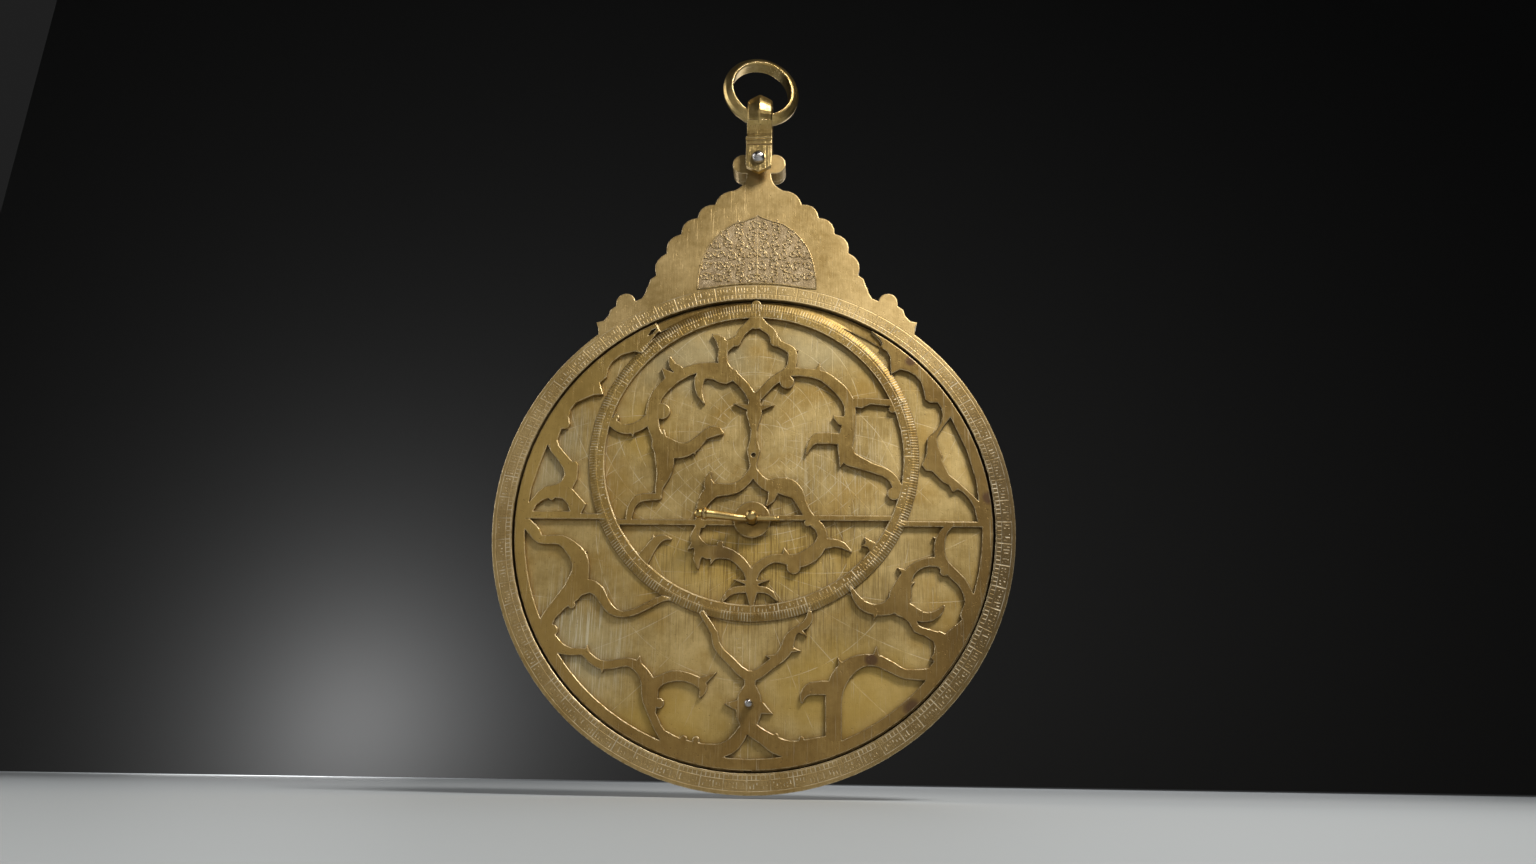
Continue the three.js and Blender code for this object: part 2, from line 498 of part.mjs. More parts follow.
// ---------------------------------------------------------------------------
// Throne, limb and back plate
// ---------------------------------------------------------------------------
// The right half of the throne from the limb up to the trefoil, each stretch
// as [x, z, rise of the bow that leads there].
const THRONE_HALF = [
  [65.2, 82, 0.4],
  [60.4, 85, 0.9],
  [57.5, 89.3, -0.9],
];
const THRONE_KNOB = { x: 53.6, z: 91, radius: 3.9 };
const THRONE_SCALLOPS = [
  [45.8, 95.2, 0.9],
  [44.6, 98.7, -0.2],
  [41.6, 103.2, -0.9],
  [37.7, 113.3, -2.3],
  [32, 122.2, -2.4],
  [25.4, 129.8, -2.3],
  [18.3, 136.1, -2.2],
  [10.3, 142.8, -1.9],
  [5.1, 151, 1.5],
];
const LOBE = { x: 6.7, z: 155.6, radius: 4.6 };
const TOP_LOBE = { z: 159.8, radius: 3.6 };

function throneOutline() {
  const half = [[64, 76.8]];
  const bowTo = ([x, z, rise]) => {
    const steps = Math.abs(rise) > 1.2 ? 5 : 2;
    half.push(...bow(half[half.length - 1], [x, z], rise, steps));
  };
  THRONE_HALF.forEach(bowTo);
  half.push(...arcPoints(THRONE_KNOB.x, THRONE_KNOB.z, THRONE_KNOB.radius, 0, 172, 8));
  THRONE_SCALLOPS.forEach(bowTo);
  half.push(...arcPoints(LOBE.x, LOBE.z, LOBE.radius, -100, 128, 12));
  half.push(...arcPoints(0, TOP_LOBE.z, TOP_LOBE.radius, 30, 90, 4));
  const mirrored = half.slice(0, -1).reverse().map(([x, z]) => [-x, z]);
  return [...half, ...mirrored];
}

function backRivetPlaces() {
  const rim = RIM_RIVET_ANGLES.map((degrees) => [
    RIM_RIVET_RADIUS * Math.cos(radians(degrees)),
    RIM_RIVET_RADIUS * Math.sin(radians(degrees)),
  ]);
  return [...rim, ...THRONE_RIVETS];
}

function rivetHoles(stretch) {
  const radius = BACK_RIVET.radius + BACK_RIVET.clearance;
  return backRivetPlaces().map(([x, z]) => disc(radius, stretch, x, z, 8));
}

function silhouette(stretch) {
  const round = disc(LIMB_RADIUS, stretch, 0, 0, ROUND_STEPS);
  const pinHole = disc(1.8, [stretch[0] - 1, stretch[1] + 1], 0, SHACKLE_PIN_Z, 12);
  return round.add(slab(throneOutline(), stretch)).subtract(pinHole);
}

function limbSolid() {
  const cavity = disc(CAVITY_RADIUS, [-1, LIMB_BACK + 1], 0, 0, ROUND_STEPS);
  const holes = rivetHoles([BACK_RIVET.front - 0.2, LIMB_BACK + 1]);
  return cut(silhouette([0, LIMB_BACK]), [cavity, ...holes]);
}

function backPlateSolid() {
  const through = [BACK_PLATE[0] - 1, BACK_PLATE[1] + 1];
  return cut(silhouette(BACK_PLATE), [
    disc(PLATE_HOLE_RADIUS, through, 0, 0, 16),
    disc(LOCATING_PEG_RADIUS + 0.15, through, 0, PEG_CENTRE_Z, 8),
    ...rivetHoles(through),
  ]);
}

// A latitude plate, notched at the bottom for the locating peg.
function latitudePlate(front) {
  const through = [front - 1, front + PLATE_THICKNESS + 1];
  const halfNotch = PEG_NOTCH_WIDTH / 2;
  return cut(disc(PLATE_RADIUS, [front, front + PLATE_THICKNESS], 0, 0, 60), [
    disc(PLATE_HOLE_RADIUS, through, 0, 0, 16),
    box([-halfNotch, halfNotch], through, [-PLATE_RADIUS - 1, PEG_CENTRE_Z + halfNotch]),
  ]);
}

// ---------------------------------------------------------------------------
// Centre pin, washer and wedge
// ---------------------------------------------------------------------------
function centrePinSolid() {
  const shaft = turned([
    [0, CENTRE_PIN_FRONT],
    [1.1, CENTRE_PIN_FRONT + 0.3],
    [1.9, CENTRE_PIN_FRONT + 1],
    [CENTRE_PIN_RADIUS, CENTRE_PIN_FRONT + 2],
    [CENTRE_PIN_RADIUS, CENTRE_PIN_HEAD.front],
    [CENTRE_PIN_HEAD.radius, CENTRE_PIN_HEAD.front],
    [CENTRE_PIN_HEAD.radius, CENTRE_PIN_HEAD.front + 1],
    [CENTRE_PIN_HEAD.radius * 0.7, CENTRE_PIN_HEAD.back - 0.4],
    [0, CENTRE_PIN_HEAD.back],
  ], 0, 0, 24);
  const slot = box([-4, 4], [SLOT.front, SLOT.back], [-SLOT.halfHeight, SLOT.halfHeight]);
  return shaft.subtract(slot);
}

// The wedge is a round tapering blade that bends forward to a collar and a
// ball, and its slim end goes through the pin's slot.
function wedgeSolid() {
  const blade = [];
  for (let x = 10; x > -16.5; x -= 1.5) {
    blade.push([WEDGE.radius - WEDGE.taper * x, x]);
  }
  const profile = [
    [0, 10.7], [0.7, 10.5], ...blade, [1.8, -16.5], [2.2, -16.8], [2.4, -17.3], [2.2, -17.8],
    [1.3, -18.1], [1.6, -18.5], [1.8, -19.3], [1.6, -20.3], [0.9, -21.1], [0, -21.3],
  ];
  const points = profile.map(([radius, x]) => new THREE.Vector2(radius, x));
  const geometry = new THREE.LatheGeometry(points, 20);
  geometry.rotateZ(-Math.PI / 2);
  const positions = geometry.attributes.position;
  for (let i = 0; i < positions.count; i += 1) {
    const along = (-positions.getX(i) - WEDGE.bendStart) / WEDGE.bendLength;
    const bend = WEDGE.rise * THREE.MathUtils.smoothstep(along, 0, 1);
    positions.setY(i, positions.getY(i) + WEDGE.middle - bend);
  }
  return solid(geometry);
}

// ---------------------------------------------------------------------------
// Alidade and its sighting vanes
// ---------------------------------------------------------------------------
function vaneRivetPlaces(side) {
  return [-VANE_RIVET_OFFSET, VANE_RIVET_OFFSET].map((z) => [side * (VANE_X - 4.5), z]);
}

function alidadeSolid() {
  const { front, back, halfLength, discRadius } = ALIDADE;
  const arms = slab([
    [-halfLength, 0], [-halfLength + 5, -3.4], [-VANE_X - 4, -6], [-14, -6], [14, -6],
    [VANE_X + 4, -6], [halfLength - 5, -3.4], [halfLength, 0], [halfLength - 5, 3.4],
    [VANE_X + 4, 6], [14, 6], [-14, 6], [-VANE_X - 4, 6], [-halfLength + 5, 3.4],
  ], [front, back]);
  const through = [front - 1, back + 1];
  const rivets = [...vaneRivetPlaces(-1), ...vaneRivetPlaces(1)];
  return cut(arms.add(disc(discRadius, [front, back], 0, 0, 48)), [
    disc(HUB_HOLE_RADIUS, through, 0, 0, 24),
    ...rivets.map(([x, z]) => disc(1.1, through, x, z, 12)),
  ]);
}

// A vane stands across the arm on a riveted foot, with two sighting holes.
function vaneSolid(side) {
  const foot = box([side * VANE_X - side * 8, side * VANE_X].sort((a, b) => a - b),
    [11.25, 12.6], [-5.6, 5.6]);
  const wall = [side * VANE_X, side * (VANE_X + 1.6)].sort((a, b) => a - b);
  const plate = box(wall, [11.25, 27], [-5.6, 5.6]);
  const holes = [[22.5, 0.7], [17, 1.3]].map(([y, radius]) => {
    const hole = new THREE.CylinderGeometry(radius, radius, 6, 12);
    hole.rotateZ(Math.PI / 2);
    hole.translate(side * VANE_X, y, 0);
    return solid(hole);
  });
  const through = [11, 13];
  const rivetHoles = vaneRivetPlaces(side).map(([x, z]) => disc(1.1, through, x, z, 12));
  return cut(foot.add(plate), [...holes, ...rivetHoles]);
}

const vaneRivetSolid = ([x, z]) => turned([
  [0, ALIDADE.front + 0.1], [0.95, ALIDADE.front + 0.1], [0.95, 12.75], [1.8, 12.75],
  [1.6, 13.3], [0.9, 13.7], [0, 13.8],
], x, z, 16);

// ---------------------------------------------------------------------------
// Shackle, its pin and the suspension ring
// ---------------------------------------------------------------------------
// An outline in Y and Z filling a stretch of X.
function sideSlab(outline, [left, right]) {
  const shape = new THREE.Shape(outline.map(([y, z]) => new THREE.Vector2(y, z)));
  const geometry = new THREE.ExtrudeGeometry(shape, { depth: right - left, bevelEnabled: false });
  geometry.rotateX(Math.PI / 2);
  geometry.rotateZ(Math.PI / 2);
  geometry.translate(left, 0, 0);
  return solid(geometry);
}

// A profile of [radius, x] pairs turned about the ring hinge, along X.
function turnedAboutHinge(profile, segments) {
  const points = profile.map(([radius, x]) => new THREE.Vector2(radius, x));
  const geometry = new THREE.LatheGeometry(points, segments);
  geometry.rotateZ(-Math.PI / 2);
  geometry.translate(0, MID_THICKNESS, RING_HINGE_Z);
  return solid(geometry);
}

function shackleSolid() {
  const mid = MID_THICKNESS;
  const depth = SHACKLE_HALF_DEPTH;
  const width = [-SHACKLE_HALF_WIDTH, SHACKLE_HALF_WIDTH];
  // The eye is a broad band with a low ridge round its middle.
  const eye = turnedAboutHinge([
    [0, width[0]], [7.7, width[0]], [8.3, width[0] + 0.5], [9.5, -2.6], [10.35, -0.7],
    [10.5, -0.2], [10.5, 0.2], [10.35, 0.7], [9.5, 2.6], [8.3, width[1] - 0.5],
    [7.7, width[1]], [0, width[1]],
  ], 40);
  // From the eye down through the cove to the two flat cheeks of the fork.
  const half = [
    [0, 177], [8.6, 175], [7.5, 173.2], [6.8, 171.4], [6.6, 169.6], [7, 168], [8, 166.6],
    [depth, 165.8], [depth, 162.2], [depth - 0.6, 161.8], [depth, 161.4], [depth, 147],
  ];
  const side = [
    ...half.map(([y, z]) => [mid + y, z]),
    ...half.slice(1).reverse().map(([y, z]) => [mid - y, z]),
  ];
  const body = sideSlab(side, width);
  const front = slab([
    [width[0], 151.5], [0, 148.5], [width[1], 151.5], [width[1], 190], [width[0], 190],
  ], [-20, 30]);
  const bead = sideSlab(
    arcPoints(0, 164.4, 1.25, 0, 360, 16).slice(1).map(([y, z]) => [mid + y * 9, z]),
    [-5.6, 5.6],
  );
  const fork = box([-10, 10], [mid - FORK.halfGap, mid + FORK.halfGap], [140, FORK.top]);
  const bossFront = -FORK.clearance;
  const bossBack = BACK_PLATE[1] + FORK.clearance;
  const bosses = [
    disc(FORK.bossRadius, [mid - FORK.halfGap - 0.5, bossFront], 0, SHACKLE_PIN_Z, 20),
    disc(FORK.bossRadius, [bossBack, mid + FORK.halfGap + 0.5], 0, SHACKLE_PIN_Z, 20),
  ];
  const hole = turnedAboutHinge([
    [0, -10], [EYE_HOLE_RADIUS, -10], [EYE_HOLE_RADIUS, 10], [0, 10],
  ], 24);
  const pinHole = disc(1.8, [-20, 30], 0, SHACKLE_PIN_Z, 12);
  const forked = body.intersect(front).add(bead).subtract(fork);
  return cut(join([forked, eye, ...bosses]), [hole, pinHole]);
}

// A pin with a low dome at either end, just clear of the cheeks.
function shacklePinSolid() {
  const headFoot = SHACKLE_HALF_DEPTH + 0.15;
  const half = [[1.6, headFoot], [2.9, headFoot], [2.9, headFoot + 0.5], [2.5, headFoot + 1.5],
    [1.5, headFoot + 2.3], [0, headFoot + 2.6]];
  const profile = [...half.slice().reverse().map(([radius, y]) => [radius, -y]), ...half];
  return turned(profile.map(([radius, y]) => [radius, y + MID_THICKNESS]), 0, SHACKLE_PIN_Z, 24);
}

// The ring rests turned a little in the eye.
function suspensionRingSolid() {
  const profile = [
    [RING_INNER_RADIUS, -3], [RING_INNER_RADIUS + 0.5, -3.6], [14.2, -3.3], [16, -2], [16.9, -0.6],
    [16.9, 0.6], [16, 2], [14.2, 3.3], [RING_INNER_RADIUS + 0.5, 3.6], [RING_INNER_RADIUS, 3],
    [RING_INNER_RADIUS, -3],
  ];
  const points = profile.map(([radius, y]) => new THREE.Vector2(radius, y));
  const geometry = new THREE.LatheGeometry(points, 64);
  geometry.rotateZ(radians(RING_TURN));
  geometry.translate(0, MID_THICKNESS, RING_CENTRE_Z);
  return solid(geometry);
}

const turningPegSolid = () => turned([
  [0, TURNING_PEG.front], [0.9, TURNING_PEG.front + 0.2], [TURNING_PEG.radius, TURNING_PEG.front + 0.9],
  [TURNING_PEG.radius, RETE[0] - 0.15], [TURNING_PEG.shank, RETE[0] - 0.15],
  [TURNING_PEG.shank, RETE[1] - 0.05], [0, RETE[1] - 0.05],
], TURNING_PEG.x, TURNING_PEG.z, 16);

// ---------------------------------------------------------------------------
// Materials and the assembly
// ---------------------------------------------------------------------------
const FINISHES = {
  brass: { color: 0xc9a96a, roughness: 0.38, metalness: 1 },
  palePlate: { color: 0xd2b77e, roughness: 0.34, metalness: 1 },
  polishedBrass: { color: 0xd0aa60, roughness: 0.16, metalness: 1 },
  steel: { color: 0xb9b4ac, roughness: 0.22, metalness: 1 },
};

const assembly = new THREE.Group();
assembly.position.set(0, -MID_THICKNESS, -(RING_CENTRE_Z + RING_INNER_RADIUS));

function place(name, body, finish) {
  const mesh = new THREE.Mesh(geometryOf(body), new THREE.MeshStandardMaterial(FINISHES[finish]));
  mesh.name = name;
  assembly.add(mesh);
}

place('suspension_ring', suspensionRingSolid(), 'polishedBrass');
place('shackle', shackleSolid(), 'polishedBrass');
place('shackle_pin', shacklePinSolid(), 'steel');
place('limb_and_throne', limbSolid(), 'brass');
place('mater_back_plate', backPlateSolid(), 'brass');
backRivetPlaces().forEach(([x, z], i) => {
  const kind = i < RIM_RIVET_ANGLES.length ? 'rim' : 'throne';
  const number = i < RIM_RIVET_ANGLES.length ? i + 1 : i + 1 - RIM_RIVET_ANGLES.length;
  const stretch = [BACK_RIVET.front, BACK_PLATE[1] - 0.02];
  place(`${kind}_rivet_${number}`, disc(BACK_RIVET.radius, stretch, x, z, 8), 'brass');
});
place('locating_peg', disc(LOCATING_PEG_RADIUS, [2.4, BACK_PLATE[1] - 0.02], 0, PEG_CENTRE_Z, 8), 'brass');
PLATE_FRONTS.forEach((front, i) => {
  place(`latitude_plate_${i + 1}`, latitudePlate(front), 'palePlate');
});
place('rete', reteSolid(), 'brass');
place('turning_peg', turningPegSolid(), 'steel');
place('centre_washer', annulus(WASHER.hole, WASHER.radius, [WASHER.front, WASHER.back], 0, 0, 32), 'brass');
place('centre_pin', centrePinSolid(), 'polishedBrass');
place('wedge', wedgeSolid(), 'polishedBrass');
place('alidade', alidadeSolid(), 'brass');
[[-1, 'left'], [1, 'right']].forEach(([side, label]) => {
  place(`sighting_vane_${label}`, vaneSolid(side), 'brass');
  vaneRivetPlaces(side).forEach((spot, i) => {
    place(`vane_rivet_${label}_${i + 1}`, vaneRivetSolid(spot), 'steel');
  });
});

const astrolabe = new THREE.Group();
astrolabe.add(assembly);

export default astrolabe;
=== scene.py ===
import bpy
import math
from mathutils import Matrix, Vector


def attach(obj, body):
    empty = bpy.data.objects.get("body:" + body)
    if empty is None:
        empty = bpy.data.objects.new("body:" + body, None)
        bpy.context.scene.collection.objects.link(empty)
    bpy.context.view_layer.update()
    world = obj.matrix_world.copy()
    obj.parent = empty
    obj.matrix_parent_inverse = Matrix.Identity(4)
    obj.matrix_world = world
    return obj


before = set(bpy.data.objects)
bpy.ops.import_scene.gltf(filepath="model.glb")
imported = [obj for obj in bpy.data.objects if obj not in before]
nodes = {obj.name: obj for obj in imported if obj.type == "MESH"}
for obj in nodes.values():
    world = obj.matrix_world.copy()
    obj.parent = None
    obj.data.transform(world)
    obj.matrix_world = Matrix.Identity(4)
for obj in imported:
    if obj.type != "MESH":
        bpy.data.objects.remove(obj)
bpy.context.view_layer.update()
scene = bpy.context.scene

# ---------------------------------------------------------------------------
# Driving values. The instrument's drawing is in millimetres from the disc's
# centre, with the limb's front face at y = 0.
# ---------------------------------------------------------------------------
MM = 0.001
DISC_CENTRE = Vector((0.0, -0.0046, -0.2074))
LIMB_RADIUS = 100.0
LIMB_INNER_RADIUS = 92.5
ECLIPTIC_CENTRE_Z = 25.9
ECLIPTIC_FACE = (58.4, 62.3)
ECLIPTIC_FOOT = 64.5
PLATE_RADIUS = 92.1
FLOOR_GAP = 1.0
FLOOR_Z = DISC_CENTRE.z - (LIMB_RADIUS + FLOOR_GAP) * MM

# The plates are laid out for one latitude, by the usual projection.
LATITUDE = math.radians(35)
OBLIQUITY = math.radians(23.6)
EQUATOR_RADIUS = PLATE_RADIUS * math.tan(math.pi / 4 - OBLIQUITY / 2)
CANCER_RADIUS = EQUATOR_RADIUS * math.tan(math.pi / 4 - OBLIQUITY / 2)


# ---------------------------------------------------------------------------
# Camera, floor and light
# ---------------------------------------------------------------------------
def add_camera():
    """A wide lens close to the instrument, low down and looking up at it."""
    data = bpy.data.cameras.new("camera")
    data.lens = 25.12
    data.sensor_width = 36.0
    data.clip_start = 0.01
    camera = bpy.data.objects.new("camera", data)
    scene.collection.objects.link(camera)
    yaw, pitch, roll = (math.radians(degrees) for degrees in (2.04, 18.01, 0.89))
    turn = Matrix.Rotation(yaw, 3, "Z") @ Matrix.Rotation(math.pi / 2 + pitch, 3, "X")
    camera.location = DISC_CENTRE + Vector((0.0198, -0.3996, -0.0947))
    camera.rotation_euler = (turn @ Matrix.Rotation(roll, 3, "Z")).to_euler()
    scene.camera = camera
    scene.view_settings.view_transform = "Standard"


def add_stage(name, corners, colour):
    """One flat, matt sheet of the studio."""
    mesh = bpy.data.meshes.new(name)
    mesh.from_pydata(corners, [], [(0, 1, 2, 3)])
    sheet = bpy.data.objects.new(name, mesh)
    scene.collection.objects.link(sheet)
    material = bpy.data.materials.new(name)
    material.use_nodes = True
    shader = material.node_tree.nodes["Principled BSDF"]
    shader.inputs["Base Color"].default_value = (*colour, 1)
    shader.inputs["Roughness"].default_value = 0.7
    mesh.materials.append(material)


def add_floor_and_backdrop():
    """A pale floor, and a dark backdrop that stands on its far edge."""
    reach = 2.5
    top = FLOOR_Z + 5.0
    floor = [(-reach, -reach), (reach, -reach), (reach, reach), (-reach, reach)]
    wall = [(-reach, FLOOR_Z), (reach, FLOOR_Z), (reach, top), (-reach, top)]
    add_stage("studio_floor", [(x, y, FLOOR_Z) for x, y in floor], colour=(0.46, 0.49, 0.51))
    add_stage("studio_backdrop", [(x, reach, z) for x, z in wall], colour=(0.05, 0.05, 0.05))


def add_light(name, offset, size, power, colour=(1, 1, 1)):
    """A soft light, placed by its offset from the disc's centre and aimed at it."""
    data = bpy.data.lights.new(name, "AREA")
    data.shape = "RECTANGLE"
    data.size, data.size_y = size
    data.energy = power
    data.color = colour
    light = bpy.data.objects.new(name, data)
    scene.collection.objects.link(light)
    light.location = DISC_CENTRE + Vector(offset)
    light.rotation_euler = (-Vector(offset)).to_track_quat("-Z", "Y").to_euler()
    light.visible_camera = False


def add_backdrop_glow():
    """A lamp near the foot of the backdrop, on the left."""
    glow = bpy.data.lights.new("backdrop_glow", "POINT")
    glow.energy = 20.0
    glow.shadow_soft_size = 0.3
    lamp = bpy.data.objects.new("backdrop_glow", glow)
    lamp.location = (-1.2, 2.15, FLOOR_Z + 0.1)
    scene.collection.objects.link(lamp)


def add_lights():
    add_light(
        "key_above_right", offset=(0.44, -0.56, 0.72), size=(0.36, 0.26), power=9.4,
        colour=(1, 0.97, 0.92),
    )
    add_light(
        "soft_front", offset=(-0.35, -1.4, 0.34), size=(1.3, 0.5), power=1.3, colour=(1, 0.98, 0.95),
    )
    add_light(
        "low_front", offset=(0.1, -1.3, -0.02), size=(1.0, 0.16), power=0.15, colour=(1, 0.96, 0.9),
    )
    add_light("edge_left", offset=(-0.9, -0.1, 0.35), size=(0.3, 0.9), power=2.0)
    add_light("soft_back", offset=(0.35, 1.4, 0.42), size=(1.3, 0.7), power=4.0)
    add_backdrop_glow()
    world = bpy.data.worlds.new("studio")
    world.use_nodes = True
    world.node_tree.nodes["Background"].inputs["Color"].default_value = (0.014, 0.014, 0.014, 1)
    scene.world = world


# ---------------------------------------------------------------------------
# Shader arithmetic
# ---------------------------------------------------------------------------
# How far the ends of a stretch and the sides of a line fade, in millimetres.
END_SOFTNESS = 0.05
LINE_SOFTNESS = 0.09

# How squarely a surface must face the front or the back to count as facing it.
FACING = (0.85, 0.95)

# Rays for the shading of corners, which only needs to be rough.
CORNER_SAMPLES = 6

# The bump of one unit of relief, in millimetres, and how strongly it shows.
RELIEF_UNIT = 0.12
RELIEF_STRENGTH = 0.6

# Places of the colour sockets on a Mix node, whose names repeat.
MIX_START = 6
MIX_END = 7
MIX_RESULT = 2


class Field:
    """A number that varies over a surface. Arithmetic on it adds Math nodes."""

    def __init__(self, tree, socket):
        self.tree = tree
        self.socket = socket

    def math(self, operation, *others):
        node = self.tree.nodes.new("ShaderNodeMath")
        node.operation = operation
        for value, socket in zip((self, *others), node.inputs):
            feed(self.tree, value, socket)
        return Field(self.tree, node.outputs[0])

    def __add__(self, other):
        return self.math("ADD", other)

    def __sub__(self, other):
        return self.math("SUBTRACT", other)

    def __rsub__(self, other):
        return self.math("MULTIPLY_ADD", -1.0, other)

    def __mul__(self, other):
        return self.math("MULTIPLY", other)

    def __truediv__(self, other):
        return self.math("DIVIDE", other)

    def __abs__(self):
        return self.math("ABSOLUTE")

    def either(self, other):
        """The larger of the two."""
        return self.math("MAXIMUM", other)

    def nearest(self, spacing):
        """How far the value is from the nearest whole multiple of the spacing."""
        return self.math("PINGPONG", spacing / 2)

    def rise(self, low, high):
        """0 below low and 1 above high, with a straight ramp between them."""
        node = self.tree.nodes.new("ShaderNodeMapRange")
        self.tree.links.new(self.socket, node.inputs["Value"])
        node.inputs["From Min"].default_value = low
        node.inputs["From Max"].default_value = high
        return Field(self.tree, node.outputs[0])

    def within(self, low, high):
        """1 between low and high, and 0 outside them."""
        start = self.rise(low - END_SOFTNESS, low + END_SOFTNESS)
        return start - self.rise(high - END_SOFTNESS, high + END_SOFTNESS)

    def line(self, width):
        """1 where the distance is inside a line of that width, in millimetres."""
        half = width / 2
        return 1 - abs(self).rise(max(half - LINE_SOFTNESS, 0.0), half + LINE_SOFTNESS)


def feed(tree, value, socket):
    """Links a field to the socket, or sets a plain value on it."""
    if isinstance(value, Field):
        tree.links.new(value.socket, socket)
    else:
        socket.default_value = value


class Surface:
    """A metal finish, with the fields that its looks are worked out from."""

    def __init__(self, name, metallic):
        self.material = bpy.data.materials.new(name)
        self.material.use_nodes = True
        self.tree = self.material.node_tree
        self.shader = self.tree.nodes["Principled BSDF"]
        self.shader.inputs["Metallic"].default_value = metallic
        coordinates = self.node("ShaderNodeTexCoord")
        place = self.node("ShaderNodeVectorMath", operation="MULTIPLY_ADD")
        self.tree.links.new(coordinates.outputs["Object"], place.inputs[0])
        place.inputs[1].default_value = (1 / MM, 1 / MM, 1 / MM)
        place.inputs[2].default_value = -DISC_CENTRE / MM
        # The place from here on is in millimetres from the disc's centre.
        self.place = place.outputs[0]
        self.x, self.y, self.z = self.split(self.place)
        backward = self.split(coordinates.outputs["Normal"])[1]
        self.front = (backward * -1.0).rise(*FACING)
        self.back = backward.rise(*FACING)

    def node(self, kind, **settings):
        node = self.tree.nodes.new(kind)
        for key, value in settings.items():
            setattr(node, key, value)
        return node

    def split(self, vector):
        """The X, Y and Z of a vector, as three fields."""
        node = self.node("ShaderNodeSeparateXYZ")
        self.tree.links.new(vector, node.inputs[0])
        return [Field(self.tree, socket) for socket in node.outputs]

    def polar(self, centre_z=0.0):
        """Distance from a point on the disc's upright axis, and bearing in degrees."""
        up = self.z - centre_z
        radius = (self.x * self.x + up * up).math("SQRT")
        return radius, up.math("ARCTAN2", self.x) * (180 / math.pi)

    def noise(self, scale, detail, stretch=(1, 1, 1), turn=0.0, roughness=0.5):
        """Cloudy noise from 0 to 1. The scale is in cycles a millimetre."""
        mapping = self.node("ShaderNodeMapping")
        self.tree.links.new(self.place, mapping.inputs["Vector"])
        mapping.inputs["Rotation"].default_value = (0, turn, 0)
        mapping.inputs["Scale"].default_value = stretch
        noise = self.node("ShaderNodeTexNoise")
        self.tree.links.new(mapping.outputs[0], noise.inputs["Vector"])
        noise.inputs["Scale"].default_value = scale
        noise.inputs["Detail"].default_value = detail
        noise.inputs["Roughness"].default_value = roughness
        return Field(self.tree, noise.outputs["Fac"])

    def blend(self, amount, start, end):
        """One colour turning into another as the amount goes from 0 to 1."""
        mix = self.node("ShaderNodeMix", data_type="RGBA")
        self.tree.links.new(amount.socket, mix.inputs["Factor"])
        for value, socket in ((start, mix.inputs[MIX_START]), (end, mix.inputs[MIX_END])):
            if isinstance(value, tuple):
                socket.default_value = (*value, 1)
            else:
                self.tree.links.new(value, socket)
        return mix.outputs[MIX_RESULT]

    def crevice(self, distance):
        """1 deep in corners and 0 in the open."""
        node = self.node("ShaderNodeAmbientOcclusion", samples=CORNER_SAMPLES)
        node.inputs["Distance"].default_value = distance * MM
        return 1 - Field(self.tree, node.outputs["AO"])

    def rounded(self, radius):
        """The surface normal with its edges rounded over, and how near an edge is."""
        bevel = self.node("ShaderNodeBevel", samples=CORNER_SAMPLES)
        bevel.inputs["Radius"].default_value = radius * MM
        geometry = self.node("ShaderNodeNewGeometry")
        dot = self.node("ShaderNodeVectorMath", operation="DOT_PRODUCT")
        self.tree.links.new(bevel.outputs[0], dot.inputs[0])
        self.tree.links.new(geometry.outputs["Normal"], dot.inputs[1])
        edge = (1 - Field(self.tree, dot.outputs["Value"])).rise(0.01, 0.12)
        return bevel.outputs[0], edge

    def finish(self, colour, roughness, relief, normal):
        """Feeds the shader and gives back the finished material."""
        self.tree.links.new(colour, self.shader.inputs["Base Color"])
        feed(self.tree, roughness, self.shader.inputs["Roughness"])
        bump = self.node("ShaderNodeBump")
        bump.inputs["Strength"].default_value = RELIEF_STRENGTH
        bump.inputs["Distance"].default_value = RELIEF_UNIT * MM
        self.tree.links.new(relief.socket, bump.inputs["Height"])
        self.tree.links.new(normal, bump.inputs["Normal"])
        self.tree.links.new(bump.outputs[0], self.shader.inputs["Normal"])
        return self.material


# ---------------------------------------------------------------------------
# Engraving. Each function gives 1 on the cut lines and 0 between them.
# ---------------------------------------------------------------------------
STROKES_IN_A_CELL = 7
STROKE_WIDTH = 0.4

# The limb's and the ecliptic ring's scales are cut only in front of these depths.
LIMB_FACE_DEPTH = 0.2
ECLIPTIC_FACE_DEPTH = 1.5

# The plates: steps of height and bearing, and the marked band left of the meridian.
HEIGHT_STEP = math.radians(6)
BEARING_STEP = math.radians(10)
PLATE_MARGIN = 3.5
BAND_SIDES = (2.6, 5.6)
BAND_CENTRE_Z = -62.0
BAND_HALF_HEIGHT = 25.0

# The back: its circles, the degree scale in the outer ones, and the shadow square.
BACK_LINE = 0.4
BACK_CIRCLES = (98.0, 96.0, 91.5, 86.0, 60.0, 58.0, 30.0)
BACK_TICKS = (96.0, 98.0)
BACK_DIVIDERS = (91.5, 98.0)
BACK_MARKS = (92.6, 95.2)
CROSS_REACH = 86.0
SHADOW_REACH = 36.0
SHADOW_BORDER = 4.0
SHADOW_STEP = 3.0


def all_of(fields):
    """Several fields as one, the largest at each place."""
    total = fields[0]
    for field in fields[1:]:
        total = total.either(field)
    return total


def circle_lines(radius, radii, width):
    """Thin circles at the given radii."""
    return all_of([(radius - circle).line(width) for circle in radii])


def along_circle(radius, bearing, step):
    """How far round the circle the nearest whole step is, in millimetres."""
    return bearing.nearest(step) * math.radians(1) * radius


def tick_ring(radius, bearing, step, width, reach):
    """Radial ticks every step degrees, between the two radii of their reach."""
    return along_circle(radius, bearing, step).line(width) * radius.within(*reach)


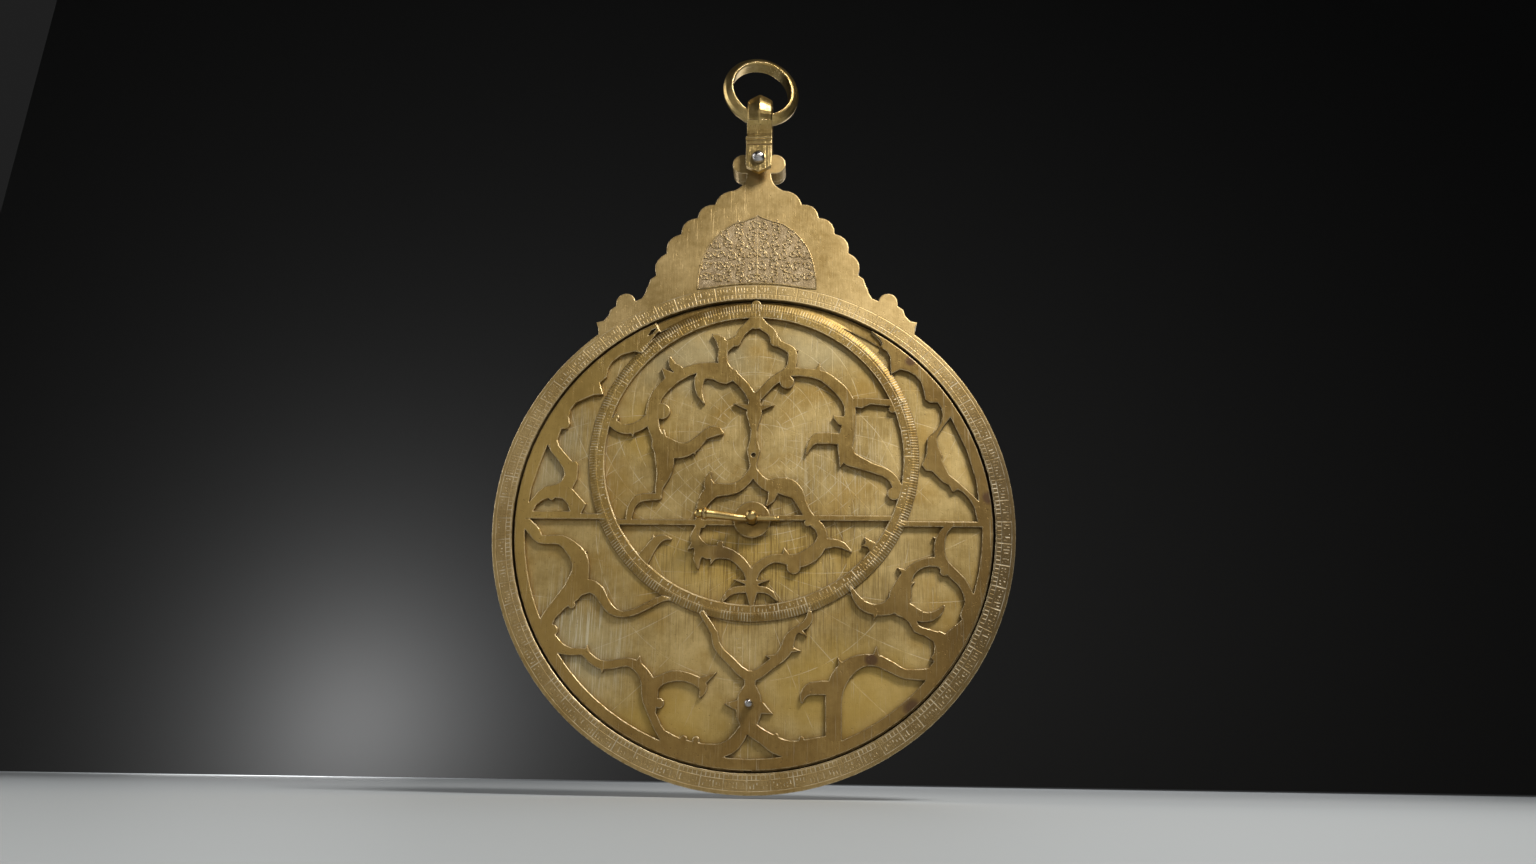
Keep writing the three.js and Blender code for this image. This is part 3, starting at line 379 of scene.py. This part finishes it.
def strokes(surface, radius, bearing, step, reach):
    """Small worn strokes in the cells of a scale, in no script."""
    rows = along_circle(radius, bearing, step / STROKES_IN_A_CELL).line(STROKE_WIDTH)
    broken = surface.noise(0.9, detail=0).rise(0.5, 0.54)
    clear_of_dividers = along_circle(radius, bearing, step).rise(0.8, 1.0)
    return rows * broken * clear_of_dividers * radius.within(*reach)


def limb_scale(surface):
    """Degrees and worn marks round the inside of the limb."""
    radius, bearing = surface.polar()
    foot = LIMB_INNER_RADIUS + 0.5
    tick_top = LIMB_INNER_RADIUS + 2.2
    top = LIMB_INNER_RADIUS + 6.0
    circles = circle_lines(radius, (foot, tick_top, top), 0.2)
    ticks = tick_ring(radius, bearing, 1, 0.34, (foot, tick_top))
    dividers = tick_ring(radius, bearing, 5, 0.4, (foot, top))
    marks = strokes(surface, radius, bearing, 5, (tick_top + 0.8, top - 0.8))
    return all_of([circles, ticks, dividers, marks])


def ecliptic_scale(surface):
    """Marks on the ecliptic ring's face, with ticks down the bevel outside it."""
    radius, bearing = surface.polar(ECLIPTIC_CENTRE_Z)
    inner, outer = ECLIPTIC_FACE
    foot = inner + 0.3
    tick_foot = outer - 0.9
    circles = circle_lines(radius, (foot, tick_foot), 0.14)
    ticks = tick_ring(radius, bearing, 1, 0.3, (tick_foot, ECLIPTIC_FOOT))
    dividers = tick_ring(radius, bearing, 10, 0.36, (foot, outer))
    marks = strokes(surface, radius, bearing, 10, (foot + 0.5, tick_foot - 0.4))
    return all_of([circles, ticks, dividers, marks])


def marked_band(surface):
    """A narrow upright band beside the meridian, with worn marks across it."""
    near, far = BAND_SIDES
    tall = (surface.z - BAND_CENTRE_Z).within(-BAND_HALF_HEIGHT, BAND_HALF_HEIGHT)
    edges = all_of([(surface.x + side).line(0.16) for side in (far, near)]) * tall
    worn = surface.noise(0.8, detail=0).rise(0.46, 0.5)
    marks = surface.z.nearest(1.6).line(0.2) * surface.x.within(-far, -near) * tall * worn
    return edges.either(marks)


def plate_lines(surface):
    """Circles of equal height, bearings and hour lines for one latitude."""
    radius, _ = surface.polar()

    # Each point of the plate is thrown back onto the sphere that it is a map of.
    east = surface.x / EQUATOR_RADIUS
    south = surface.z / EQUATOR_RADIUS
    spread = east * east + south * south + 1.0
    shrink = spread.math("POWER", -1.0)
    sin_declination = shrink * 2.0 - 1.0
    eastward = east * shrink * 2.0
    up = south * shrink * 2.0
    sin_height = sin_declination * math.sin(LATITUDE) + up * math.cos(LATITUDE)
    height = sin_height.math("ARCSINE")
    southward = up * math.sin(LATITUDE) - sin_declination * math.cos(LATITUDE)
    bearing = eastward.math("ARCTAN2", southward)

    # A radian of the sky takes up this many millimetres of the plate.
    millimetres = spread * (EQUATOR_RADIUS / 2)
    above = sin_height.rise(-0.004, 0.004)
    levels = (height.nearest(HEIGHT_STEP) * millimetres).line(0.16) * above
    away = bearing.nearest(BEARING_STEP) * height.math("COSINE") * millimetres
    below_zenith = 1 - sin_height.rise(0.93, 0.95)
    bearings = away.line(0.14) * above * below_zenith

    # Below the horizon the night arc is parted into six on either side.
    tan_declination = sin_declination.math("ARCSINE").math("TANGENT")
    half_night = (tan_declination * math.tan(LATITUDE)).math("ARCCOSINE")
    share = abs(surface.x.math("ARCTAN2", surface.z * -1.0)) / half_night
    hours = (share.nearest(1 / 6) * half_night * radius).line(0.18) * (1 - above)

    radii = (CANCER_RADIUS, EQUATOR_RADIUS, PLATE_RADIUS - PLATE_MARGIN)
    circles = circle_lines(radius, radii, 0.18)
    meridian = surface.x.line(0.14)
    return all_of([levels, bearings, hours, circles, meridian, marked_band(surface)])


def shadow_square(surface):
    """A ruled border round the two squares that hang side by side under the centre."""
    outer = SHADOW_REACH
    inner = SHADOW_REACH - SHADOW_BORDER
    aside = abs(surface.x)
    inside = (1 - aside.rise(outer, outer + 0.4)) * surface.z.within(-outer - 0.2, 0.0)
    sides = all_of([(aside - edge).line(BACK_LINE) for edge in (outer, inner)])
    floors = all_of([(surface.z + edge).line(BACK_LINE) for edge in (outer, inner)])
    rungs = surface.z.nearest(SHADOW_STEP).line(BACK_LINE) * aside.within(inner, outer)
    steps = surface.x.nearest(SHADOW_STEP).line(BACK_LINE) * surface.z.within(-outer, -inner)
    return all_of([sides, floors, rungs, steps]) * inside


def back_scale(surface):
    """Altitude scales round the back and a shadow square under the centre."""
    radius, bearing = surface.polar()
    circles = circle_lines(radius, BACK_CIRCLES, BACK_LINE)
    ticks = tick_ring(radius, bearing, 1, BACK_LINE, BACK_TICKS)
    dividers = tick_ring(radius, bearing, 5, 0.5, BACK_DIVIDERS)
    marks = strokes(surface, radius, bearing, 5, BACK_MARKS)
    cross = surface.x.line(BACK_LINE).either(surface.z.line(BACK_LINE))
    cross = cross * (1 - radius.rise(CROSS_REACH, CROSS_REACH + 0.1))
    return all_of([circles, ticks, dividers, marks, shadow_square(surface), cross])


def limb_engraving(surface):
    return limb_scale(surface) * surface.front * surface.y.math("LESS_THAN", LIMB_FACE_DEPTH)


def rete_engraving(surface):
    return ecliptic_scale(surface) * surface.y.math("LESS_THAN", ECLIPTIC_FACE_DEPTH)


def plate_engraving(surface):
    return plate_lines(surface) * surface.front


def back_engraving(surface):
    return back_scale(surface) * surface.back


def stipple(surface):
    """The punched ground of the throne's panel."""
    return surface.noise(2.2, detail=0).rise(0.5, 0.6)


# ---------------------------------------------------------------------------
# Metal finishes
# ---------------------------------------------------------------------------
STAIN_COLOUR = (0.30, 0.18, 0.045)
PIT_COLOUR = (0.14, 0.085, 0.035)
# Grime and painted shade in corners take this dark colour.
GRIME_AND_SHADE_COLOUR = (0.10, 0.058, 0.02)
# Worn edges and painted edge highlights take this pale colour.
RUBBED_AND_HIGHLIGHT_COLOUR = (0.90, 0.74, 0.46)


def brushed(surface, across, along, turn):
    """Fine parallel scratches: stretched noise, close across and long along."""
    return surface.noise(1.0, detail=3, stretch=(across, 1, along), turn=turn, roughness=0.7)


def aged_metal(
    name, deep, pale, cut, roughness, carve=None, shades=None, metallic=0.85, turn=0.0,
    stain=0.5, stain_colour=STAIN_COLOUR, grime_and_shade_amount=0.75, crevice=2.2, hairlines=0.22,
    cut_strength=0.8, groove=0.8, edge=0.75, edge_colour=RUBBED_AND_HIGHLIGHT_COLOUR,
):
    """Old brass: cloudy tone, brush marks, pits, grime and painted shade in corners, rubbed edges
    with painted highlights.

    The tone runs from deep to pale. Scratches and engraved lines have the colour cut. The
    function carve gives the engraved lines, and shades gives patches of other colours.
    """
    surface = Surface(name, metallic)
    clouds = surface.noise(0.03, detail=4)
    mottle = surface.noise(0.25, detail=4, roughness=0.65)
    streaks = brushed(surface, 2.6, 0.12, turn)
    cross_streaks = brushed(surface, 0.1, 2.2, turn + 0.5)
    scratches = brushed(surface, 1.9, 0.05, turn - 0.7).rise(0.62, 0.68)
    pits = surface.noise(1.3, detail=3).rise(0.64, 0.72)
    stains = surface.noise(0.05, detail=5, roughness=0.6).rise(0.5, 0.66) * stain
    # Darker in corners and between parts: partly grime, partly painted shade where the parts shadow
    # each other.
    shade_and_grime = surface.crevice(crevice).rise(0.15, 0.85) * grime_and_shade_amount

    tone = (clouds + mottle * 0.6 + streaks * 0.4).rise(0.82, 1.2)
    colour = surface.blend(tone, deep, pale)
    colour = surface.blend(stains, colour, stain_colour)
    if shades:
        for amount, shade in shades(surface):
            colour = surface.blend(amount, colour, shade)
    colour = surface.blend(pits * 0.5, colour, PIT_COLOUR)
    # The corners are darkened here with grime and painted shade.
    colour = surface.blend(shade_and_grime, colour, GRIME_AND_SHADE_COLOUR)
    colour = surface.blend(scratches * hairlines, colour, cut)
    relief = streaks * 0.3 + cross_streaks * 0.16 - pits * 0.6 - scratches * 0.3 + mottle * 0.8
    dullness = streaks * 0.12 + clouds * 0.2 + shade_and_grime * 0.2 + (roughness - 0.16)

    if carve:
        lines = carve(surface)
        worn = surface.noise(0.22, detail=3).rise(0.4, 0.62) * cut_strength
        colour = surface.blend(lines * worn, colour, cut)
        relief = relief - lines * groove
        dullness = dullness + lines * 0.1

    normal, corners = surface.rounded(edge)
    # Paler near the edges: partly wear, partly a painted highlight where rounded edges would catch
    # the light.
    rubbed_and_highlight = corners * surface.noise(0.5, detail=2).rise(0.3, 0.55) * 0.75
    colour = surface.blend(rubbed_and_highlight, colour, edge_colour)
    dullness = dullness - rubbed_and_highlight * 0.16
    return surface.finish(colour, dullness, relief, normal)


def oval(surface, x, z, wide, high, soft=0.5):
    """A patch with a soft, ragged edge: 1 in the middle of the oval and 0 outside it."""
    across = (surface.x - x) / wide
    up = (surface.z - z) / high
    reach = (across * across + up * up).math("SQRT")
    ragged = surface.noise(0.12, detail=4) - 0.5
    return 1 - (reach + ragged).rise(1 - soft, 1 + soft * 0.4)


def ovals(surface, patches):
    """Several such patches as one."""
    return all_of([oval(surface, *patch) for patch in patches])


def limb_shades(surface):
    """The limb is darker than the throne above it, most of all on the right."""
    brown = (0.24, 0.155, 0.06)
    umber = (0.10, 0.066, 0.027)
    radius, _ = surface.polar()
    limb = (1 - radius.rise(99.6, 100.6)) * (1 - surface.z.rise(20, 75))
    right = surface.x.rise(20, 95) * limb
    return [(limb * 0.4, brown), (right * 0.85, umber)]


def rete_shades(surface):
    """Golden on the left, brown below and on the right, with a few dark spots."""
    gold = (0.62, 0.42, 0.12)
    brown = (0.27, 0.155, 0.05)
    dark_brown = (0.15, 0.09, 0.028)
    red_black = (0.09, 0.045, 0.03)
    umber = (0.10, 0.055, 0.02)
    left = 1 - surface.x.rise(-80, -30)
    low = 1 - surface.z.rise(-60, 40)
    right = surface.x.rise(30, 88)
    places = [(90.3, 9.5, 2.6), (58.8, -69, 3.2), (44.8, -52, 2.4), (62, 65.5, 2.2)]
    spots = ovals(surface, [(x, z, size, size, 0.4) for x, z, size in places])
    lozenge = oval(surface, -10, -13, 7, 5)
    return [
        (left * 0.45, gold), (low * 0.4, brown), (right * 0.6, dark_brown),
        (spots * 0.75, red_black), (lozenge * 0.6, umber),
    ]


def plate_shades(surface):
    """Silvery in some patches, yellow in others, and scored by use in four places."""
    silver = (0.50, 0.44, 0.27)
    yellow = (0.60, 0.40, 0.095)
    brown = (0.16, 0.09, 0.025)
    ivory = (0.84, 0.78, 0.58)
    sand = (0.86, 0.74, 0.50)
    cream = (0.84, 0.76, 0.56)
    silvery = ovals(surface, [
        (-68, -52, 20, 17), (-80, 22, 12, 20), (-24, 66, 26, 14), (22, 70, 16, 9),
    ])
    yellowed = ovals(surface, [
        (34, -62, 30, 18), (-30, -76, 20, 14), (0, -16, 46, 15), (-44, 36, 12, 14),
    ])
    grain = brushed(surface, 2.4, 0.06, 0.06).rise(0.5, 0.6) * oval(surface, 14, -18, 56, 34)
    scored = brushed(surface, 1.8, 0.05, 0.62).rise(0.52, 0.6) * oval(surface, -70, -48, 26, 26)
    raked = brushed(surface, 1.7, 0.05, 1.18).rise(0.52, 0.6) * oval(surface, 34, 24, 24, 18)
    fanned = brushed(surface, 1.6, 0.05, -0.7).rise(0.52, 0.6) * oval(surface, -72, 26, 20, 22)
    return [
        (silvery * 0.45, silver), (yellowed * 0.6, yellow), (grain * 0.6, brown),
        (scored * 0.6, ivory), (raked * 0.35, sand), (fanned * 0.35, cream),
    ]


def add_materials():
    return {
        "limb": aged_metal(
            "engraved_limb_brass", deep=(0.40, 0.27, 0.095), pale=(0.66, 0.48, 0.215),
            cut=(0.85, 0.75, 0.55), roughness=0.46, carve=limb_engraving, shades=limb_shades,
            turn=0.4, stain=0.3, cut_strength=0.6,
        ),
        "back": aged_metal(
            "engraved_back_brass", deep=(0.36, 0.24, 0.085), pale=(0.58, 0.41, 0.17),
            cut=(0.05, 0.03, 0.014), roughness=0.40, carve=back_engraving,
            turn=1.1, hairlines=0.1, cut_strength=1.0,
        ),
        "rete": aged_metal(
            "rete_brass", deep=(0.25, 0.155, 0.042), pale=(0.47, 0.32, 0.105),
            cut=(0.85, 0.74, 0.52), roughness=0.44, carve=rete_engraving, shades=rete_shades,
            turn=1.3, cut_strength=0.75,
        ),
        "plate": aged_metal(
            "engraved_plate_brass", deep=(0.42, 0.29, 0.10), pale=(0.66, 0.49, 0.21),
            cut=(0.86, 0.78, 0.58), roughness=0.48, carve=plate_engraving, shades=plate_shades,
            turn=0.6, stain=0.6, stain_colour=(0.44, 0.27, 0.06), grime_and_shade_amount=0.65, crevice=4.0,
            cut_strength=0.6, groove=0.25,
        ),
        "polished": aged_metal(
            "polished_brass", deep=(0.46, 0.31, 0.10), pale=(0.72, 0.53, 0.22),
            cut=(0.8, 0.7, 0.5), roughness=0.30, metallic=1.0, stain=0.35, grime_and_shade_amount=0.85, edge=0.35,
        ),
        "steel": aged_metal(
            "polished_steel", deep=(0.36, 0.345, 0.33), pale=(0.62, 0.60, 0.58),
            cut=(0.8, 0.8, 0.8), roughness=0.22, metallic=1.0, stain=0.3,
            stain_colour=(0.22, 0.17, 0.12), edge_colour=(0.85, 0.84, 0.82),
        ),
        "ground": aged_metal(
            "stippled_ground", deep=(0.30, 0.215, 0.115), pale=(0.50, 0.375, 0.21),
            cut=(0.70, 0.57, 0.38), roughness=0.5, carve=stipple, stain=0.2, edge=0.1,
        ),
    }


def finish_of(name):
    """Which finish a node of the instrument has."""
    if name.startswith("latitude"):
        return "plate"
    if name in ("shackle_pin", "turning_peg") or name.startswith("vane_rivet"):
        return "steel"
    if name in ("suspension_ring", "shackle", "wedge", "centre_pin"):
        return "polished"
    if name in ("rete", "centre_washer", "alidade") or name.startswith("sighting"):
        return "rete"
    if name == "limb_and_throne":
        return "limb"
    return "back"


# ---------------------------------------------------------------------------
# Smooth shading of the round faces, which leaves the real corners sharp
# ---------------------------------------------------------------------------
SHARP_CORNER = math.radians(32)


def smoothing_nodes():
    group = bpy.data.node_groups.new("smooth_round_faces", "GeometryNodeTree")
    group.interface.new_socket("Geometry", in_out="INPUT", socket_type="NodeSocketGeometry")
    group.interface.new_socket("Geometry", in_out="OUTPUT", socket_type="NodeSocketGeometry")
    start = group.nodes.new("NodeGroupInput")
    end = group.nodes.new("NodeGroupOutput")
    faces = group.nodes.new("GeometryNodeSetShadeSmooth")
    edges = group.nodes.new("GeometryNodeSetShadeSmooth")
    edges.domain = "EDGE"
    edges.inputs["Shade Smooth"].default_value = False
    angle = group.nodes.new("GeometryNodeInputMeshEdgeAngle")
    sharp = group.nodes.new("FunctionNodeCompare")
    sharp.operation = "GREATER_THAN"
    sharp.inputs["B"].default_value = SHARP_CORNER
    group.links.new(start.outputs[0], faces.inputs["Geometry"])
    group.links.new(faces.outputs[0], edges.inputs["Geometry"])
    group.links.new(angle.outputs["Unsigned Angle"], sharp.inputs["A"])
    group.links.new(sharp.outputs[0], edges.inputs["Selection"])
    group.links.new(edges.outputs[0], end.inputs[0])
    return group


def dress_nodes(finishes):
    smoothing = smoothing_nodes()
    for name, node in nodes.items():
        node.data.materials.clear()
        node.data.materials.append(finishes[finish_of(name)])
        node.modifiers.new("smooth", "NODES").node_group = smoothing


# ---------------------------------------------------------------------------
# The throne's panel: a stippled ground with leaf scrolls and a border
# ---------------------------------------------------------------------------
PANEL_TOP = (0, 131.0)
PANEL_SIDE = [
    (1.4, 129.9), (4, 128.8), (10.5, 126.7), (14.5, 123.8), (17.8, 120.2), (20.4, 116.3),
    (22.2, 112.2), (23.4, 107.5), (24.2, 102.5), (24.3, 97),
]
PANEL_FOOT = [(20, 97.4), (15, 98.3), (10, 99), (5, 99.4)]
PANEL_BOTTOM = (0, 99.5)
PANEL_PROUD = 0.12
PANEL_SUNK = 0.3
BORDER_RADIUS = 0.34
SCROLL_RADIUS = 0.22

# Rows of scrolls on either side: their height, how many, and the panel's half width.
SCROLL_ROWS = [
    (102.4, 5, 23.9), (107.4, 5, 23.2), (112.4, 5, 21.9), (117.2, 4, 19.6), (121.8, 3, 16),
    (126.0, 2, 10.2),
]
SCROLL_SIZE = 2.35
SCROLL_TURNS = 1.4
SCROLL_STEPS = 18
STEPS_TO_A_LEAF = 5
LEAF_LENGTH = 0.42 * SCROLL_SIZE
LEAF_STEPS = 5

# How far a leaf leans from pointing straight out, and how far it curls, in radians.
LEAF_LEAN = 0.9
LEAF_CURL = 0.5

# The upright stem between the two sides.
STEM_FOOT = 100.5
STEM_STEP = 2.4
STEM_POINTS = 12


def on_panel(x, z, proud=PANEL_PROUD):
    """A point over the throne's face, in the frame's metres."""
    return DISC_CENTRE + Vector((x, -proud, z)) * MM


def panel_outline():
    right = [*PANEL_SIDE, *PANEL_FOOT]
    left = [(-x, z) for x, z in reversed(right)]
    return [PANEL_TOP, *right, PANEL_BOTTOM, *left]


def add_piece(name, data, material):
    data.materials.append(material)
    piece = bpy.data.objects.new(name, data)
    scene.collection.objects.link(piece)
    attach(piece, "mater")


def new_curve(name, radius):
    curve = bpy.data.curves.new(name, "CURVE")
    curve.dimensions = "3D"
    curve.bevel_depth = radius * MM
    curve.bevel_resolution = 1
    curve.use_fill_caps = True
    return curve


def add_strand(curve, places, widths, closed=False):
    """A wire through the places. Each width is a multiple of the curve's radius."""
    strand = curve.splines.new("POLY")
    strand.points.add(len(places) - 1)
    for point, place, width in zip(strand.points, places, widths):
        point.co = (*place, 1)
        point.radius = width
    strand.use_cyclic_u = closed


def add_leaf(curve, x, z, bearing):
    """An almond leaf, widest about two fifths of the way along."""
    places = []
    widths = []
    for step in range(LEAF_STEPS + 1):
        share = step / LEAF_STEPS
        curl = bearing + LEAF_CURL * share
        reach = LEAF_LENGTH * share
        places.append(on_panel(x + reach * math.cos(curl), z + reach * math.sin(curl)))
        widths.append(0.5 + 2.2 * math.sin(math.pi * share ** 0.7))
    add_strand(curve, places, widths)


def add_scroll(curve, side, x, z, start, way):
    """A stem that winds in on itself, with leaves on its outside."""
    places = []
    widths = []
    for step in range(SCROLL_STEPS + 1):
        share = step / SCROLL_STEPS
        angle = (start + way * SCROLL_TURNS * share) * math.tau
        reach = SCROLL_SIZE * (1 - 0.82 * share)
        stem_x = side * (x + reach * math.cos(angle))
        stem_z = z + reach * math.sin(angle)
        places.append(on_panel(stem_x, stem_z))
        widths.append(1.25 - 0.5 * share)
        if step % STEPS_TO_A_LEAF == 2:
            bearing = angle + way * LEAF_LEAN
            if side < 0:
                bearing = math.pi - bearing
            add_leaf(curve, stem_x, stem_z, bearing)
    add_strand(curve, places, widths)


def add_panel_ground(outline, material):
    """A thin slab from just proud of the throne's face to a little way into it."""
    count = len(outline)
    fronts = [on_panel(x, z) for x, z in outline]
    backs = [on_panel(x, z, -PANEL_SUNK) for x, z in outline]
    sides = [(i, i + count, (i + 1) % count + count, (i + 1) % count) for i in range(count)]
    mesh = bpy.data.meshes.new("throne_panel")
    faces = [tuple(range(count)), tuple(range(2 * count - 1, count - 1, -1)), *sides]
    mesh.from_pydata(fronts + backs, [], faces)
    add_piece("throne_panel", mesh, material)


def add_panel_border(outline, material):
    border = new_curve("throne_panel_border", BORDER_RADIUS)
    places = [on_panel(x, z) for x, z in outline]
    add_strand(border, places, [1] * len(places), closed=True)
    add_piece("throne_panel_border", border, material)


def add_panel_scrolls(material):
    scrolls = new_curve("throne_panel_scrolls", SCROLL_RADIUS)
    for row, (height, count, half_width) in enumerate(SCROLL_ROWS):
        for place in range(count):
            way = 1 if (row + place) % 2 else -1
            start = 0.25 * row + 0.15 * place
            across = half_width / count * (place + 0.5)
            for side in (1, -1):
                add_scroll(scrolls, side, across, height, start, way)
    stem = [on_panel(0, STEM_FOOT + step * STEM_STEP) for step in range(STEM_POINTS)]
    add_strand(scrolls, stem, [1.5 - 0.08 * step for step in range(STEM_POINTS)])
    add_piece("throne_panel_scrolls", scrolls, material)


def add_panel(finishes):
    outline = panel_outline()
    add_panel_ground(outline, finishes["ground"])
    add_panel_border(outline, finishes["limb"])
    add_panel_scrolls(finishes["limb"])


add_camera()
add_floor_and_backdrop()
add_lights()
finishes = add_materials()
dress_nodes(finishes)
add_panel(finishes)
